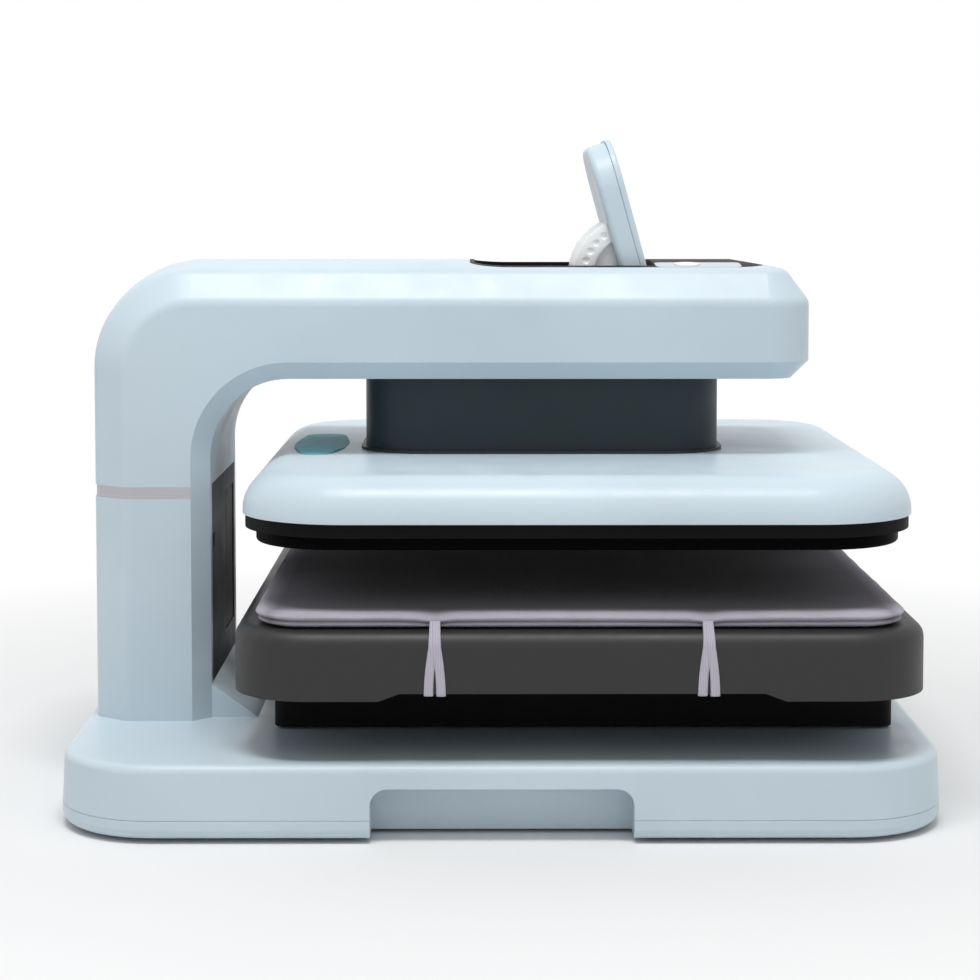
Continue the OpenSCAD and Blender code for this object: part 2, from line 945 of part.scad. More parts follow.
module lift_gearbox() {
  color([0.3, 0.31, 0.33])
    difference() {
      union() {
        translate([sleeve_c - 97, -24, bush_z - 22])
          cube([104, 48, 22]);
        translate([screw_x - 18, -22, bush_z])
          cube([36, 44, cross_z - bush_z]);
      }
      translate([screw_x, 0, bush_z - 62])
        cylinder(h = 120, r = screw_r + bore_gap);
    }
}

module lift_motor() {
  color([0.45, 0.46, 0.48]) {
    translate([motor_x, 0, bush_z])
      cylinder(h = cross_z - bush_z - 6, r = 21);
    translate([motor_x, 0, cross_z - 6])
      cylinder(h = 4, r = 8);
  }
}

module guide_bushes() {
  color([0.7, 0.58, 0.3])
    for (x = rod_x, s = [-1, 1])
      translate([x, s * rod_y, bush_z])
        difference() {
          union() {
            cylinder(h = cross_z - bush_z, r = bush_r - 2);
            translate([0, 0, cross_z - bush_z - 4])
              cylinder(h = 4, r = bush_r);
          }
          translate([0, 0, -1])
            cylinder(h = 60, r = rod_r + bore_gap);
        }
}

module control_board() {
  color([0.1, 0.32, 0.2])
    translate([back_x - 14, -56, deck_z + 49])
      cube([1.6, 112, 74]);
  color(black) {
    translate([back_x - 22, -44, deck_z + 57])
      cube([8, 26, 20]);
    translate([back_x - 24, 14, deck_z + 85])
      cube([10, 30, 24]);
    translate([back_x - 17, -40, deck_z + 93])
      cube([3, 30, 20]);
  }
  color(steel)
    for (y = [-50, 50], z = [deck_z + 55, deck_z + 117])
      translate([back_x - 12.4, y, z])
        rotate([0, 90, 0])
          cylinder(h = 12.4, r = 3);
}

module mains_inlet() {
  color(black)
    difference() {
      back_fitting(inlet_y, 32, 26, 19);
      translate([col_x - 5, inlet_y - 10, rock_z - 7])
        cube([20, 20, 14]);
    }
  color(steel)
    for (i = [-1:1])
      translate([col_x + 15, inlet_y + 6 * i - 0.7, rock_z + (i == 0 ? 2 : -3)])
        rotate([0, -90, 0])
          translate([0, 0, -0.5])
            cube([4, 1.4, 13]);
}

module switch_frame() {
  color(black)
    difference() {
      back_fitting(rock_y, 26, 26, 16);
      translate([col_x - 5, rock_y - 6.5, rock_z - 8.5])
        cube([16, 13, 17]);
      translate([rock_x, 0, rock_z])
        rotate([-90, 0, 0])
          cylinder(h = 40, r = 1.5 + bore_gap);
    }
}

// Rocker turned to its off side
module switch_rocker() {
  color([0.12, 0.12, 0.13])
    translate([rock_x, rock_y, rock_z])
      rotate([0, rock_tilt, 0]) {
        difference() {
          rotate([90, 0, 0])
            cylinder(h = 12, r = 7.6, center = true);
          translate([-17.6, -10, -10])
            cube([12, 20, 20]);
          translate([1, -10, -10])
            cube([12, 20, 20]);
          translate([-26.5, 0, 0])
            rotate([90, 0, 0])
              cylinder(h = 20, r = 22, center = true);
        }
        rotate([90, 0, 0])
          cylinder(h = 17, r = 1.5, center = true);
      }
}

module slide_rails() {
  color(steel)
    for (y = [-rail_y - rail_t, rail_y])
      translate([rail_x0, y, deck_z])
        cube([rail_len, rail_t, rail_h]);
}

module head_cover() {
  color(blue)
    difference() {
      translate([head_c, 0, 0])
        plan_sweep(head_side, head_side, head_r, head_z0, head_z1)
          round_top(head_r, head_z0, head_z1, head_f);
      translate([head_c, 0, 0])
        plan_sweep(head_side - 2 * head_w, head_side - 2 * head_w, head_r - head_w, head_z0 - 1, ceil_z)
          round_top(head_r - head_w, head_z0 - 1, ceil_z, head_f - head_w);
      translate([screw_x, 0, ceil_z - 1])
        cylinder(h = 10, r = screw_r + fit_gap);
      for (x = rod_x, s = [-1, 1])
        translate([x, s * rod_y, ceil_z - 1])
          cylinder(h = 10, r = rod_r + fit_gap);
      translate([lens_x, 0, head_z1 - lens_in])
        linear_extrude(5)
          lens_plan(fit_gap);
    }
}

// Long oval of four arcs
module lens_plan(g) {
  y = lens_w / 2 - lens_e;
  x = lens_l / 2;
  a = (y * y + x * x - lens_e * lens_e) / (2 * (x - lens_e)) - x;
  k = lens_e / (a + x - lens_e);
  intersection() {
    intersection_for (s = [-1, 1])
      translate([s * a, 0])
        circle(a + x + g, $fn = 256);
    square([lens_w, 2 * y * (1 + k)], center = true);
  }
  for (s = [-1, 1])
    translate([0, s * y])
      circle(lens_e + g);
}

module rear_lens() {
  rx = (lens_l * lens_l / 4 + lens_h * lens_h) / (2 * lens_h);
  ry = (lens_w * lens_w / 4 + lens_h * lens_h) / (2 * lens_h);
  color([0.33, 0.49, 0.51])
    translate([lens_x, 0, head_z1 - lens_in])
      intersection() {
        linear_extrude(lens_in + lens_h + 1)
          lens_plan(0);
        translate([0, 0, lens_in + lens_h - rx])
          rotate([90, 0, 0])
            cylinder(h = lens_w + 2, r = rx, center = true, $fn = 256);
        translate([0, 0, lens_in + lens_h - ry])
          rotate([0, 90, 0])
            cylinder(h = lens_l + 2, r = ry, center = true, $fn = 720);
      }
}

module head_rim() {
  color(black)
    translate([head_c, 0, 0])
      difference() {
        plan_block(head_side - 2 * rim_in, head_side - 2 * rim_in, head_r - rim_in, rim_z, head_z0);
        plan_block(platen_side + 2 * rim_fit, platen_side + 2 * rim_fit, platen_r + rim_fit,
          rim_z - 1, head_z0 + 1);
      }
}

module heat_platen() {
  color([0.04, 0.04, 0.04])
    translate([head_c, 0, 0])
      plan_sweep(platen_side, platen_side, platen_r, platen_z0, platen_z1)
        translate([0, platen_z0 + platen_z1])
          mirror([0, 1])
            round_top(platen_r, platen_z0, platen_z1, 2);
}

module heating_element() {
  color([0.5, 0.42, 0.38])
    translate([head_c, 0, platen_z1 + tube_r]) {
      for (i = [-3:3])
        translate([0, coil_p * i, 0])
          rotate([0, 90, 0])
            cylinder(h = coil_l, r = tube_r, center = true);
      for (i = [-3:2])
        translate([(i % 2 == 0 ? 1 : -1) * coil_l / 2, coil_p * (i + 0.5), 0])
          rotate([0, 0, i % 2 == 0 ? -90 : 90])
            rotate_extrude(angle = 180)
              translate([coil_p / 2, 0])
                circle(tube_r);
    }
}

module insulation() {
  color([0.85, 0.82, 0.74])
    difference() {
      translate([head_c - wool_side / 2, -wool_side / 2, platen_z1 + 2 * tube_r])
        cube([wool_side, wool_side, wool_t]);
      for (x = post_x, s = [-1, 1])
        translate([x, s * post_y, platen_z1])
          cylinder(h = 2 * tube_r + 2 * wool_t, r = 7);
    }
}

module head_bracket() {
  color(steel)
    translate([sleeve_c - 102, -post_y - 15, ceil_z - bracket_t])
      cube([230, 2 * post_y + 30, bracket_t]);
}

module platen_posts() {
  color(steel)
    for (x = post_x, s = [-1, 1])
      translate([x, s * post_y, platen_z1])
        cylinder(h = ceil_z - bracket_t - platen_z1, r = 6);
}

module sleeve() {
  color(slate)
    translate([sleeve_c, 0, 0])
      difference() {
        union() {
          plan_block(sleeve_len, sleeve_dep, sleeve_r, head_z1, sleeve_z1);
          plan_block(sleeve_len + 6, sleeve_dep + 6, sleeve_r + 3, head_z1, head_z1 + 1.8);
        }
        plan_block(sleeve_len - 2 * sleeve_w, sleeve_dep - 2 * sleeve_w, sleeve_r - sleeve_w,
          head_z1 - 1, sleeve_z1 + 1);
      }
}

module lead_screw() {
  color(steel)
    translate([screw_x, 0, ceil_z])
      cylinder(h = rod_top - ceil_z, r = screw_r);
}

module guide_rods() {
  color(steel)
    for (x = rod_x, s = [-1, 1])
      translate([x, s * rod_y, ceil_z])
        cylinder(h = rod_top - ceil_z, r = rod_r);
}

module tray() {
  color(grey)
    translate([tray_m, 0, 0])
      difference() {
        plan_sweep(tray_len, tray_dep, tray_r, tray_z0, tray_z1)
          round_top(tray_r, tray_z0, tray_z1, tray_f);
        plan_block(tray_len - 2 * tray_w, tray_dep - 2 * tray_w, tray_r - tray_w, tray_z0 - 1, tray_c);
        side_prism(-tray_dep, tray_dep)
          polygon([[-arch_l, tray_z0 - 1], [arch_l, tray_z0 - 1], [arch_l, tray_z0],
            [arch_l - 12, tray_z0 + arch_h], [12 - arch_l, tray_z0 + arch_h], [-arch_l, tray_z0]]);
      }
}

module carriage() {
  l = car_x1 - car_x0;
  color(black)
    translate([(car_x0 + car_x1) / 2, 0, 0])
      difference() {
        plan_block(l, 2 * car_hy, 8, car_z0, tray_c);
        plan_block(l - 2 * car_w, 2 * car_hy - 2 * car_w, 4, car_z0 - 1, tray_c - 6);
        translate([-l, -rail_y - rail_t - 1, car_z0 - 1])
          cube([2 * l, rail_t + 2, rail_h + 2]);
        translate([-l, rail_y - 1, car_z0 - 1])
          cube([2 * l, rail_t + 2, rail_h + 2]);
      }
}

module slide_runners() {
  y1 = car_hy - car_w;
  z1 = deck_z + rail_h + 0.3;
  color(steel)
    for (m = [0, 1])
      mirror([0, m, 0])
        translate([rail_x0 + 8, 0, 0])
          rotate([90, 0, 90])
            linear_extrude(rail_len - 20)
              polygon([[rail_y - 2, z1], [y1 - 4, z1], [y1 - 4, z1 - 8], [y1, z1 - 8], [y1, z1 + 5],
                [rail_y - 2, z1 + 5]]);
}

// How far a band pulls on the pad's edge at place u along a side
function pull(u) = exp(-pow((abs(u + strap_back) - strap_x) / 8, 2));

// Stations along a straight side of the pad, closer together at the bands
function pad_half() = [strap_x / 2, strap_x - 20, strap_x - 11, strap_x - 5, strap_x,
  strap_x + 5, strap_x + 11, strap_x + 20, pad_side / 2 - pad_r];
function pad_run() = concat([for (i = [8 : -1 : 0]) -pad_half()[i]], [0], pad_half());
function pad_shift(u) = u - strap_back * (1 - pow(u / (pad_side / 2 - pad_r), 2));

// One ring round the pad: drawn in by d at height z, and pulled by the bands by p
function pad_ring(d, z, p) =
  let (r = max(pad_r - d, 1), h = pad_side / 2 - d - r, s = h / (pad_side / 2 - pad_r))
  [for (k = [0:3]) each
    let (ends = k % 2 == 0 ? p : 0,
      line = [for (i = [0:18]) k == 2 ? -pad_shift(pad_run()[18 - i]) : pad_shift(pad_run()[i])],
      side = [for (u = line) let (q = ends * pull(k == 2 ? -u : u))
        [u * s, q - pad_side / 2 + d, z - q]],
      bend = [for (a = [15 : 15 : 75]) [h + r * sin(a), -h - r * cos(a), z]])
    [for (q = concat(side, bend))
      [q[0] * cos(90 * k) - q[1] * sin(90 * k), q[0] * sin(90 * k) + q[1] * cos(90 * k), q[2]]]];

// Levels up the pad's side: drawn in, height, pull. A fold runs round under the edge
pad_levels = [[5, 0, 0], [1.8, 1.2, 1], [1.3, 2.2, 1.5], [2.6, 3, 1.5], [0.7, 4.2, 1.8],
  [0, pad_t - 5, 2], [0.8, pad_t - 3, 2], [3.2, pad_t - 1.5, 1.8], [9, pad_t - 0.6, 1],
  [40, pad_t - 0.2, 0], [110, pad_t, 0]];

module pad() {
  rings = [for (v = pad_levels) pad_ring(v[0], v[1], v[2])];
  n = len(rings[0]);
  m = len(rings);
  points = concat([for (r = rings) each r], [[0, 0, 0], [0, 0, pad_t]]);
  sides = [for (j = [0 : m - 2], i = [0 : n - 1]) each
    let (a = j * n + i, b = j * n + (i + 1) % n)
    [[a, a + n, b + n], [a, b + n, b]]];
  low = [for (i = [0 : n - 1]) [m * n, i, (i + 1) % n]];
  top = [for (i = [0 : n - 1]) [m * n + 1, (m - 1) * n + (i + 1) % n, (m - 1) * n + i]];
  color([0.45, 0.44, 0.47])
    translate([tray_m, 0, tray_z1])
      polyhedron(points, concat(sides, low, top));
}

// One elastic band: over the tray's edge, then two legs down the skirt
module strap() {
  y0 = -tray_dep / 2;
  t = 1;
  translate([3.5, 0, 0])
    rotate([0, -90, 0])
      linear_extrude(7)
        union() {
          translate([tray_z1 - tray_f, y0 + tray_f])
            difference() {
              mirror([0, 1])
                quarter(tray_f + t);
              circle(tray_f);
            }
          translate([tray_z1 - tray_f - 4, y0 - t])
            square([4, t]);
        }
  for (m = [0, 1])
    mirror([m, 0, 0])
      translate([0.9, y0 - t, tray_z1 - tray_f - 1])
        rotate([0, -6, 0])
          translate([-strap_w / 2, 0, -25])
            cube([strap_w, t, 26]);
}

module straps() {
  color([0.74, 0.72, 0.77])
    for (m = [0, 1], x = [-strap_x, strap_x])
      mirror([0, m, 0])
        translate([tray_m - strap_back + x, 0, 0])
          strap();
}

// Everything stands on the feet
module up() {
  translate([0, 0, foot_h])
    children();
}

up() base_cover();
up() base_pan();
up() rubber_feet();
up() pan_screws();
up() base_plate();
up() column_shell();
up() trim_band();
up() arm_shell();
up() throat_cover();
up() column_cover();
up() throat_liner();
up() liner_insert();
up() control_panel();
up() key_strip();
up() start_key();
up() panel_well();
up() hinge_pin();
up() frame_plate_near();
up() frame_plate_far();
up() frame_spacers();
up() lift_plate();
up() guide_plate();
up() lift_gearbox();
up() lift_motor();
up() guide_bushes();
up() control_board();
up() mains_inlet();
up() switch_frame();
up() switch_rocker();
up() slide_rails();
up() head_cover();
up() head_rim();
up() heat_platen();
up() heating_element();
up() insulation();
up() head_bracket();
up() platen_posts();
up() sleeve();
up() lead_screw();
up() guide_rods();
up() rear_lens();
up() tray();
up() carriage();
up() slide_runners();
up() pad();
up() straps();
up() flip_shell();
up() flip_cover();
up() flip_drum();
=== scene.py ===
"""Flat heat press: materials, soft pad, elastic bands, studio and camera.

Everything is in metres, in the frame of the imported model: +X out of the open
front, +Y to the far side, +Z up, the origin on the floor under the base.
"""

import math

import bmesh
import bpy
from mathutils import Euler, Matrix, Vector, noise


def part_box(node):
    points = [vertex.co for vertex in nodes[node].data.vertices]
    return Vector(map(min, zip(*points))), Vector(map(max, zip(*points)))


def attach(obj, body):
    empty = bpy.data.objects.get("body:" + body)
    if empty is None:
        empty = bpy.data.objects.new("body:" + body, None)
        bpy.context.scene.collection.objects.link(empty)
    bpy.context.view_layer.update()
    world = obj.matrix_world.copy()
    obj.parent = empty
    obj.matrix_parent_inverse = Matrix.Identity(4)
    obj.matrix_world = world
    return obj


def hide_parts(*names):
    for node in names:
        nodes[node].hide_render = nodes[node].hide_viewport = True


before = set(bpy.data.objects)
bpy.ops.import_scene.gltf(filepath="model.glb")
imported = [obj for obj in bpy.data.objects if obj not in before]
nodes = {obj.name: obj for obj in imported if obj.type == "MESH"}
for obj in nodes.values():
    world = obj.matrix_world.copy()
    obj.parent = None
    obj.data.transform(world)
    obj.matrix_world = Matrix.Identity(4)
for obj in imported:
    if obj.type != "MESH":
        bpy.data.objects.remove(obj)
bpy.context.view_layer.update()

MM = 0.001
MICRON = 0.001 * MM

pad_low, pad_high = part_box("pad")
tray_low, tray_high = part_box("tray")
band_low, band_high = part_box("straps")
pad_mid = (pad_low + pad_high) / 2
pad_half = (pad_high.x - pad_low.x) / 2
band_mid = (band_low.x + band_high.x) / 2


# Colours


def srgb(red, green, blue):
    """Linear colour of an 8-bit sRGB triple, with full alpha."""

    def linear(value):
        value /= 255
        return value / 12.92 if value <= 0.04045 else ((value + 0.055) / 1.055) ** 2.4

    return (linear(red), linear(green), linear(blue), 1.0)


def shade(colour, factor):
    """The same colour, lighter or darker by a factor."""
    return tuple(min(1.0, c * factor) for c in colour[:3]) + (1.0,)


WHITE = (1.0, 1.0, 1.0, 1.0)
ROOM_WHITE = (0.98, 0.99, 1.0, 1.0)
BLUE = srgb(195, 210, 219)
SLATE = srgb(45, 54, 58)
TRAY_GREY = srgb(27, 26, 26)
PAD_GREY = srgb(182, 177, 188)
BAND_LILAC = srgb(196, 190, 204)
STEEL = srgb(168, 170, 174)


# Shader nodes


# Nearly all values of a noise texture lie in this span
NOISE_SPAN = (0.3, 0.7)


def add_node(tree, kind, inputs=None, **settings):
    """Adds a node to a tree. Inputs are sockets to link or values to set."""
    made = tree.nodes.new(kind)
    for key, value in settings.items():
        setattr(made, key, value)
    for key, value in (inputs or {}).items():
        if isinstance(value, bpy.types.NodeSocket):
            tree.links.new(value, made.inputs[key])
        else:
            made.inputs[key].default_value = value
    return made


def add_math(tree, operation, first, second=0.0):
    """Adds a calculation with one or two numbers to a tree."""
    made = add_node(tree, "ShaderNodeMath", {0: first, 1: second}, operation=operation)
    return made.outputs["Value"]


def sees_backdrop(tree):
    """1 for camera, glossy and transmitted rays, which all see the same pale backdrop."""
    rays = add_node(tree, "ShaderNodeLightPath").outputs
    seen = add_math(tree, "MAXIMUM", rays["Is Camera Ray"], rays["Is Glossy Ray"])
    return add_math(tree, "MAXIMUM", seen, rays["Is Transmission Ray"])


class Shader:
    """A new material with a principled shader and short calls to add nodes to it.

    Scales are in cycles per metre, bumps in metres.
    """

    def __init__(self, name, colour, roughness, **values):
        self.material = bpy.data.materials.new(name)
        self.material.use_nodes = True
        self.tree = self.material.node_tree
        self.bsdf = self.tree.nodes["Principled BSDF"]
        self.bsdf.inputs["Base Color"].default_value = colour
        self.bsdf.inputs["Roughness"].default_value = roughness
        for key, value in values.items():
            self.bsdf.inputs[key.replace("_", " ")].default_value = value
        self.coords = self.node("ShaderNodeTexCoord").outputs["Object"]
        self.normal = None

    def node(self, kind, inputs=None, **settings):
        """Adds a node to this material."""
        return add_node(self.tree, kind, inputs, **settings)

    def link(self, output, key):
        """Links an output to a socket of the principled shader."""
        self.tree.links.new(output, self.bsdf.inputs[key])

    def math(self, operation, first, second=0.0):
        """Adds a calculation with one or two numbers to this material."""
        return add_math(self.tree, operation, first, second)

    def stretched(self, scale):
        """Object coordinates scaled per axis."""
        made = self.node("ShaderNodeMapping", {"Vector": self.coords, "Scale": scale})
        return made.outputs["Vector"]

    def noise(self, scale, detail=2.0, rough=0.5, vector=None):
        """Soft noise over the object, or over other coordinates."""
        made = self.node(
            "ShaderNodeTexNoise",
            {
                "Vector": vector or self.coords,
                "Scale": scale,
                "Detail": detail,
                "Roughness": rough,
            },
        )
        return made.outputs["Fac"]

    def ribs(self, axis, scale, distortion, **more):
        """Even ribs that follow each other along one axis."""
        inputs = {"Vector": self.coords, "Scale": scale, "Distortion": distortion}
        for key, value in more.items():
            inputs[key.replace("_", " ")] = value
        made = self.node("ShaderNodeTexWave", inputs, bands_direction=axis)
        return made.outputs["Fac"]

    def ramp(self, factor, low, high, span=NOISE_SPAN):
        """Colour that goes from low to high over a span of the factor."""
        made = self.node("ShaderNodeValToRGB", {"Fac": factor})
        for element, position, colour in zip(made.color_ramp.elements, span, (low, high)):
            element.position = position
            element.color = colour
        return made.outputs["Color"]

    def spread(self, factor, low, high, span=NOISE_SPAN):
        """Number that goes from low to high over a span of the factor."""
        start, end = span
        made = self.node(
            "ShaderNodeMapRange",
            {
                "Value": factor,
                "From Min": start,
                "From Max": end,
                "To Min": low,
                "To Max": high,
            },
        )
        return made.outputs["Result"]

    def mix(self, factor, first, second):
        """Colour between two, each a socket or a value."""
        made = self.node("ShaderNodeMix", {0: factor}, data_type="RGBA")
        for socket, value in ((made.inputs[6], first), (made.inputs[7], second)):
            if isinstance(value, bpy.types.NodeSocket):
                self.tree.links.new(value, socket)
            else:
                socket.default_value = value
        return made.outputs[2]

    def tint(self, factor, low, high, span=NOISE_SPAN):
        """Lets the base colour go from low to high over a span of the factor."""
        self.link(self.ramp(factor, low, high, span), "Base Color")

    def polish(self, factor, low, high, span=NOISE_SPAN):
        """Lets the roughness go from low to high over a span of the factor."""
        self.link(self.spread(factor, low, high, span), "Roughness")

    def bump(self, height, distance, strength=1.0):
        """Adds a bump of so many metres, on top of earlier ones."""
        inputs = {"Height": height, "Distance": distance, "Strength": strength}
        if self.normal:
            inputs["Normal"] = self.normal
        self.normal = self.node("ShaderNodeBump", inputs).outputs["Normal"]
        self.link(self.normal, "Normal")


# Materials


def moulding(name, colour, roughness, grain=0.6, mottle=0.04, **values):
    """Moulded plastic: spark-eroded grain, faint flow marks and handling sheen."""
    s = Shader(name, colour, roughness, **values)
    flow = s.noise(scale=9.0, detail=3.0)
    s.tint(flow, shade(colour, 1 - mottle), shade(colour, 1 + mottle))
    smear = s.noise(scale=38.0, detail=4.0, rough=0.6)
    s.polish(smear, roughness - 0.05, roughness + 0.06)
    s.bump(s.noise(scale=2600.0), 20 * MICRON * grain)
    s.bump(s.noise(scale=22.0, detail=1.0), 100 * MICRON, strength=0.35)
    return s.material


def brushed(name, colour, roughness, scale):
    """Brushed metal, with the scratches along the axis of the smallest scale."""
    s = Shader(name, colour, roughness, Metallic=1.0)
    lines = s.noise(scale=1.0, detail=4.0, rough=0.6, vector=s.stretched(scale))
    s.tint(lines, shade(colour, 0.82), shade(colour, 1.1))
    s.polish(lines, roughness - 0.08, roughness + 0.12)
    s.bump(lines, 30 * MICRON)
    return s.material


def powder_coat(name, colour, roughness, gloss=0.3):
    """Powder-coated casting: fine orange peel with lighter worn spots."""
    s = Shader(name, colour, roughness, Specular_IOR_Level=gloss)
    wear = s.noise(scale=16.0, detail=5.0, rough=0.65)
    s.tint(wear, shade(colour, 0.93), shade(colour, 1.09), span=(0.35, 0.7))
    s.polish(wear, roughness - 0.04, roughness + 0.06)
    s.bump(s.noise(scale=850.0), 60 * MICRON)
    s.bump(s.noise(scale=3200.0, detail=1.0), 20 * MICRON)
    return s.material


def non_stick(name):
    """Black non-stick coat with fine glints."""
    colour = srgb(4, 4, 4)
    s = Shader(name, colour, 0.5, Specular_IOR_Level=0.02)
    flecks = s.noise(scale=2400.0, detail=1.0)
    s.tint(flecks, colour, srgb(20, 20, 20), span=(0.7, 0.84))
    s.polish(s.noise(scale=30.0, detail=3.0), 0.36, 0.5)
    s.bump(s.noise(scale=900.0), 30 * MICRON)
    return s.material


def pad_cloth(name):
    """Close knit over foam: crossing ribs, fuzz, and a top painted darker as the head's
    shadow.
    """
    s = Shader(
        name,
        PAD_GREY,
        0.95,
        Specular_IOR_Level=0.08,
        Sheen_Weight=0.08,
        Sheen_Roughness=0.5,
    )
    ribs_x, ribs_y, ribs_z = (
        s.ribs(axis, scale=430.0, distortion=1.5, Detail=1.0, Detail_Scale=2.0)
        for axis in ("X", "Y", "Z")
    )
    weave = s.math("MULTIPLY", s.math("ADD", ribs_x, ribs_z), s.math("ADD", ribs_y, ribs_z))
    patches = s.noise(scale=14.0, detail=4.0, rough=0.6)
    soft = s.ramp(patches, shade(PAD_GREY, 0.9), shade(PAD_GREY, 1.1))
    depth = s.spread(weave, 0.0, 0.2, span=(0.2, 1.6))
    threads = s.mix(depth, soft, shade(PAD_GREY, 0.62))
    place = s.node("ShaderNodeSeparateXYZ", {0: s.coords}).outputs
    off_x = s.math("ABSOLUTE", s.math("SUBTRACT", place["X"], pad_mid.x))
    off_y = s.math("ABSOLUTE", s.math("SUBTRACT", place["Y"], pad_mid.y))
    inset = s.math("SUBTRACT", pad_half, s.math("MAXIMUM", off_x, off_y))
    # Painted shade: the top darkens from 4 to 14 mm in from the edge, for the shadow under the
    # head
    painted_shade = s.spread(inset, 0.0, 0.7, span=(4 * MM, 14 * MM))
    s.link(s.mix(painted_shade, threads, shade(PAD_GREY, 0.2)), "Base Color")
    s.bump(weave, 50 * MICRON)
    s.bump(s.noise(scale=900.0), 50 * MICRON)
    return s.material


def elastic(name):
    """Elastic band: cords along its length under a fine cross weave."""
    s = Shader(name, BAND_LILAC, 0.85, Sheen_Weight=0.3)
    cords = s.ribs("X", scale=330.0, distortion=0.6)
    cross = s.ribs("Z", scale=700.0, distortion=0.8)
    s.link(s.mix(cords, shade(BAND_LILAC, 0.8), shade(BAND_LILAC, 1.06)), "Base Color")
    s.bump(cords, 200 * MICRON)
    s.bump(cross, 80 * MICRON)
    return s.material


def rubber(name):
    """Dark rubber with dust in its grain."""
    colour = srgb(34, 34, 35)
    s = Shader(name, colour, 0.8)
    dust = s.noise(scale=60.0, detail=4.0, rough=0.6)
    s.tint(dust, colour, srgb(58, 57, 56), span=(0.5, 0.8))
    s.bump(s.noise(scale=1500.0), 50 * MICRON)
    return s.material


def pale_drum(name):
    """Milky white moulding that lets a little light through."""
    colour = srgb(244, 247, 249)
    s = Shader(
        name,
        colour,
        0.36,
        Subsurface_Weight=0.6,
        Subsurface_Scale=10 * MM,
        Subsurface_Radius=(1.0, 0.95, 0.9),
    )
    swirl = s.noise(scale=70.0, detail=3.0)
    s.tint(swirl, shade(colour, 0.96), shade(colour, 1.03))
    s.bump(s.noise(scale=1800.0), 20 * MICRON)
    return s.material


def smoked_lens(name):
    """Deep teal lens with a soft, low gloss."""
    colour = srgb(122, 194, 205)
    s = Shader(name, colour, 0.45, Specular_IOR_Level=0.03)
    cloud = s.noise(scale=45.0)
    s.tint(cloud, shade(colour, 0.9), shade(colour, 1.1))
    s.bump(s.noise(scale=600.0, detail=1.0), 20 * MICRON)
    return s.material


def board_green(name):
    """Circuit board with a field of pale tracks."""
    colour = srgb(28, 84, 52)
    s = Shader(name, colour, 0.4)
    cells = s.node(
        "ShaderNodeTexBrick",
        {
            "Vector": s.stretched((160.0, 160.0, 160.0)),
            "Scale": 1.0,
            "Mortar Size": 0.06,
            "Color1": colour,
            "Color2": shade(colour, 1.2),
            "Mortar": srgb(120, 140, 90),
        },
    ).outputs
    s.link(cells["Color"], "Base Color")
    s.bump(cells["Fac"], 50 * MICRON)
    return s.material


def fibre(name):
    """Pale fibre blanket with long strands."""
    colour = srgb(222, 214, 196)
    s = Shader(name, colour, 0.95)
    grain = s.stretched((900.0, 120.0, 400.0))
    strands = s.noise(scale=1.0, detail=5.0, rough=0.7, vector=grain)
    s.tint(strands, shade(colour, 0.82), shade(colour, 1.05))
    s.bump(strands, 600 * MICRON)
    return s.material


# Each material with the nodes that wear it
dress = [
    (
        moulding("shell_blue", BLUE, 0.36, Specular_IOR_Level=0.35),
        ["base_cover", "base_pan", "column_shell", "arm_shell", "throat_cover", "column_cover",
         "head_cover", "flip_shell", "flip_cover"],
    ),
    (
        moulding("sleeve_slate", SLATE, 0.42, 0.8, Specular_IOR_Level=0.2),
        ["sleeve"],
    ),
    (
        moulding("moulding_black", srgb(11, 11, 12), 0.55, 1.0, 0.1, Specular_IOR_Level=0.1),
        ["liner_insert", "panel_well", "mains_inlet", "switch_frame", "switch_rocker",
         "carriage"],
    ),
    (
        moulding("panel_black", srgb(24, 24, 27), 0.5, 0.3, 0.08, Specular_IOR_Level=0.1),
        ["control_panel"],
    ),
    (moulding("key_field", srgb(196, 201, 206), 0.42, 0.5), ["key_strip"]),
    (moulding("start_white", srgb(242, 243, 244), 0.35, 0.4, 0.02), ["start_key"]),
    (
        moulding("liner_grey", srgb(80, 80, 89), 0.5, 0.4, 0.06, Specular_IOR_Level=0.05),
        ["throat_liner"],
    ),
    (
        moulding("rim_black", srgb(16, 16, 16), 0.55, 1.0, 0.1, Specular_IOR_Level=0.06),
        ["head_rim"],
    ),
    (
        brushed("trim_brushed", srgb(182, 181, 187), 0.34, (12.0, 12.0, 3000.0)),
        ["trim_band"],
    ),
    (
        brushed("plate_milled", STEEL, 0.38, (30.0, 1800.0, 1800.0)),
        ["pan_screws", "base_plate", "frame_plate_near", "frame_plate_far", "frame_spacers",
         "lift_plate", "guide_plate", "slide_rails", "slide_runners", "head_bracket",
         "platen_posts"],
    ),
    (
        brushed("rod_ground", srgb(190, 192, 196), 0.24, (900.0, 900.0, 60.0)),
        ["hinge_pin", "lead_screw", "guide_rods"],
    ),
    (
        brushed("bush_bronze", srgb(176, 140, 84), 0.45, (500.0, 500.0, 40.0)),
        ["guide_bushes"],
    ),
    (
        brushed("element_tube", srgb(132, 112, 104), 0.5, (400.0, 400.0, 400.0)),
        ["heating_element"],
    ),
    (powder_coat("gear_cast", srgb(92, 94, 98), 0.55), ["lift_gearbox", "lift_motor"]),
    (powder_coat("tray_coat", TRAY_GREY, 0.5, gloss=0.53), ["tray"]),
    (board_green("board_green"), ["control_board"]),
    (rubber("foot_rubber"), ["rubber_feet"]),
    (non_stick("platen_coat"), ["heat_platen"]),
    (fibre("blanket_fibre"), ["insulation"]),
    (smoked_lens("lens_teal"), ["rear_lens"]),
    (pale_drum("drum_white"), ["flip_drum"]),
]
for material, names in dress:
    for name in names:
        mesh = nodes[name].data
        mesh.materials.clear()
        mesh.materials.append(material)


